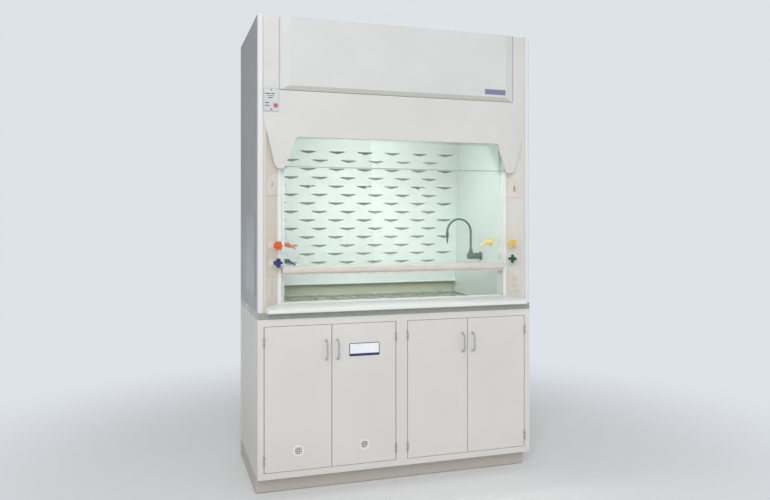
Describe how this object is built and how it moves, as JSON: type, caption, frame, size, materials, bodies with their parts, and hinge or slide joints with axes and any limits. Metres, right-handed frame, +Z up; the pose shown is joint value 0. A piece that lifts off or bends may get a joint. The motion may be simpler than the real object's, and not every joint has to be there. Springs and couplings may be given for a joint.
{
  "type": "fume hood",
  "caption": "Bench fume hood on base cabinets, with a counterbalanced vertical sash, slotted baffles, service valves, wall switches and a duct collar.",
  "frame": {"origin": "on the floor under the middle of the whole object", "axes": "+X to the right seen from the front, +Y from the front to the back, +Z up"},
  "size_m": [1.5286, 0.81, 2.468],
  "materials": {
    "grey_paint": "satin",
    "cream_paint": "satin",
    "white_paint": "satin",
    "cabinet_paint": "satin",
    "cream_moulding": "matte",
    "liner": "satin",
    "work_surface": "satin",
    "white_plastic": "satin",
    "grey_plastic": "satin",
    "blue_plastic": "gloss",
    "orange_plastic": "gloss",
    "green_plastic": "gloss",
    "yellow_plastic": "gloss",
    "red_plastic": "gloss",
    "green_coat": "gloss",
    "dark_coat": "satin",
    "steel": "brushed",
    "iron": "matte",
    "glass": "polished"
  },
  "bodies": {
    "frame": {"access_covers": "grey_paint", "air_monitor": "grey_plastic", "airfoil_sill": "white_paint", "cabinet_hinges": "steel", "cabinet_left": "cabinet_paint", "cabinet_right": "cabinet_paint", "cabinet_shelves": "cabinet_paint", "duplex_outlets": "white_plastic", "exhaust_collar": "steel", "faucet_base": "green_coat", "front_posts": "cream_paint", "head_rail": "steel", "header_fascia": "cream_moulding", "lamp_housing": "white_paint", "lamp_lens": "glass", "lamp_tubes": "white_plastic", "levelling_feet": "steel", "liner_ceiling": "liner", "liner_sides": "liner", "lower_baffle": "liner", "nozzle_left_lower": "blue_plastic", "nozzle_left_upper": "orange_plastic", "nozzle_right": "yellow_plastic", "rear_panel": "grey_paint", "roof_panel": "grey_paint", "sash_cables": "steel", "sash_tracks": "white_plastic", "side_panels": "grey_paint", "switch_plates": "white_plastic", "top_baffle": "liner", "upper_baffle": "liner", "upper_front_cover": "cream_moulding", "valve_bonnets": "dark_coat", "view_pane": "glass", "work_surface": "work_surface"},
    "sash": {"sash_glass": "glass", "sash_handle": "white_plastic", "sash_glides": "white_plastic"},
    "sash_shaft": {"sash_shaft": "steel"},
    "weight_left": {"sash_weight_left": "iron"},
    "weight_right": {"sash_weight_right": "iron"},
    "door_left_outer": {"door_left_outer": "cabinet_paint", "door_pull_left_outer": "steel", "door_vent_left_outer": "white_plastic"},
    "door_left_inner": {"door_left_inner": "cabinet_paint", "door_pull_left_inner": "steel", "door_vent_left_inner": "white_plastic"},
    "door_right_inner": {"door_right_inner": "cabinet_paint", "door_pull_right_inner": "steel"},
    "door_right_outer": {"door_right_outer": "cabinet_paint", "door_pull_right_outer": "steel"},
    "knob_left_upper": {"knob_left_upper": "orange_plastic"},
    "knob_left_lower": {"knob_left_lower": "blue_plastic"},
    "knob_right_upper": {"knob_right_upper": "yellow_plastic"},
    "knob_right_lower": {"knob_right_lower": "green_plastic"},
    "gooseneck": {"gooseneck": "green_coat"},
    "light_switch": {"light_switch_toggle": "white_plastic"},
    "blower_switch": {"blower_switch_toggle": "white_plastic"},
    "monitor_button": {"monitor_button": "red_plastic"}
  },
  "joints": [
    {"name": "sash_slide", "type": "slide", "parent": "frame", "child": "sash", "axis": [0, 0, 1], "range_m": [-0.14, 0.47], "deforming": ["sash_cables"]},
    {"name": "sash_shaft_turn", "type": "hinge", "parent": "frame", "child": "sash_shaft", "pos_m": [0, -0.2305, 2.368], "axis": [1, 0, 0], "range_deg": [-761.6, 229]},
    {"name": "weight_left_slide", "type": "slide", "parent": "frame", "child": "weight_left", "axis": [0, 0, 1], "range_m": [-0.471, 0.141]},
    {"name": "weight_right_slide", "type": "slide", "parent": "frame", "child": "weight_right", "axis": [0, 0, 1], "range_m": [-0.471, 0.141]},
    {"name": "door_left_outer_hinge", "type": "hinge", "parent": "frame", "child": "door_left_outer", "pos_m": [-0.7294, -0.3493, 0.49], "axis": [0, 0, -1], "range_deg": [0, 165]},
    {"name": "door_left_inner_hinge", "type": "hinge", "parent": "frame", "child": "door_left_inner", "pos_m": [-0.0326, -0.3493, 0.49], "axis": [0, 0, 1], "range_deg": [0, 90]},
    {"name": "door_right_inner_hinge", "type": "hinge", "parent": "frame", "child": "door_right_inner", "pos_m": [0.0326, -0.3493, 0.49], "axis": [0, 0, -1], "range_deg": [0, 90]},
    {"name": "door_right_outer_hinge", "type": "hinge", "parent": "frame", "child": "door_right_outer", "pos_m": [0.7294, -0.3493, 0.49], "axis": [0, 0, 1], "range_deg": [0, 165]},
    {"name": "knob_left_upper_turn", "type": "hinge", "parent": "frame", "child": "knob_left_upper", "pos_m": [-0.686, -0.311, 1.268], "axis": [0.6616, -0.7498, 0], "range_deg": [0, 540]},
    {"name": "knob_left_lower_turn", "type": "hinge", "parent": "frame", "child": "knob_left_lower", "pos_m": [-0.686, -0.311, 1.18], "axis": [0.6616, -0.7498, 0], "range_deg": [0, 540]},
    {"name": "knob_right_upper_turn", "type": "hinge", "parent": "frame", "child": "knob_right_upper", "pos_m": [0.686, -0.311, 1.268], "axis": [-0.6616, -0.7498, 0], "range_deg": [0, 540]},
    {"name": "knob_right_lower_turn", "type": "hinge", "parent": "frame", "child": "knob_right_lower", "pos_m": [0.686, -0.311, 1.18], "axis": [-0.6616, -0.7498, 0], "range_deg": [0, 540]},
    {"name": "gooseneck_swivel", "type": "hinge", "parent": "frame", "child": "gooseneck", "pos_m": [0.547, -0.022, 1.25], "axis": [0, 0, 1], "range_deg": [-90, 60]},
    {"name": "light_switch_throw", "type": "hinge", "parent": "frame", "child": "light_switch", "pos_m": [-0.6893, -0.3073, 1.58], "axis": [0.7498, 0.6616, 0], "range_deg": [0, 30]},
    {"name": "blower_switch_throw", "type": "hinge", "parent": "frame", "child": "blower_switch", "pos_m": [0.6893, -0.3073, 1.58], "axis": [0.7498, -0.6616, 0], "range_deg": [0, 30]},
    {"name": "monitor_button_press", "type": "slide", "parent": "frame", "child": "monitor_button", "axis": [0.0777, 0.997, 0], "range_m": [0, 0.0015], "stiffness_N_per_m": 300}
  ],
  "couplings": [
    {"joint": "sash_shaft_turn", "follows": "sash_slide", "rad_per_m": -28.169},
    {"joint": "weight_left_slide", "follows": "sash_slide", "ratio": -1},
    {"joint": "weight_right_slide", "follows": "sash_slide", "ratio": -1}
  ]
}
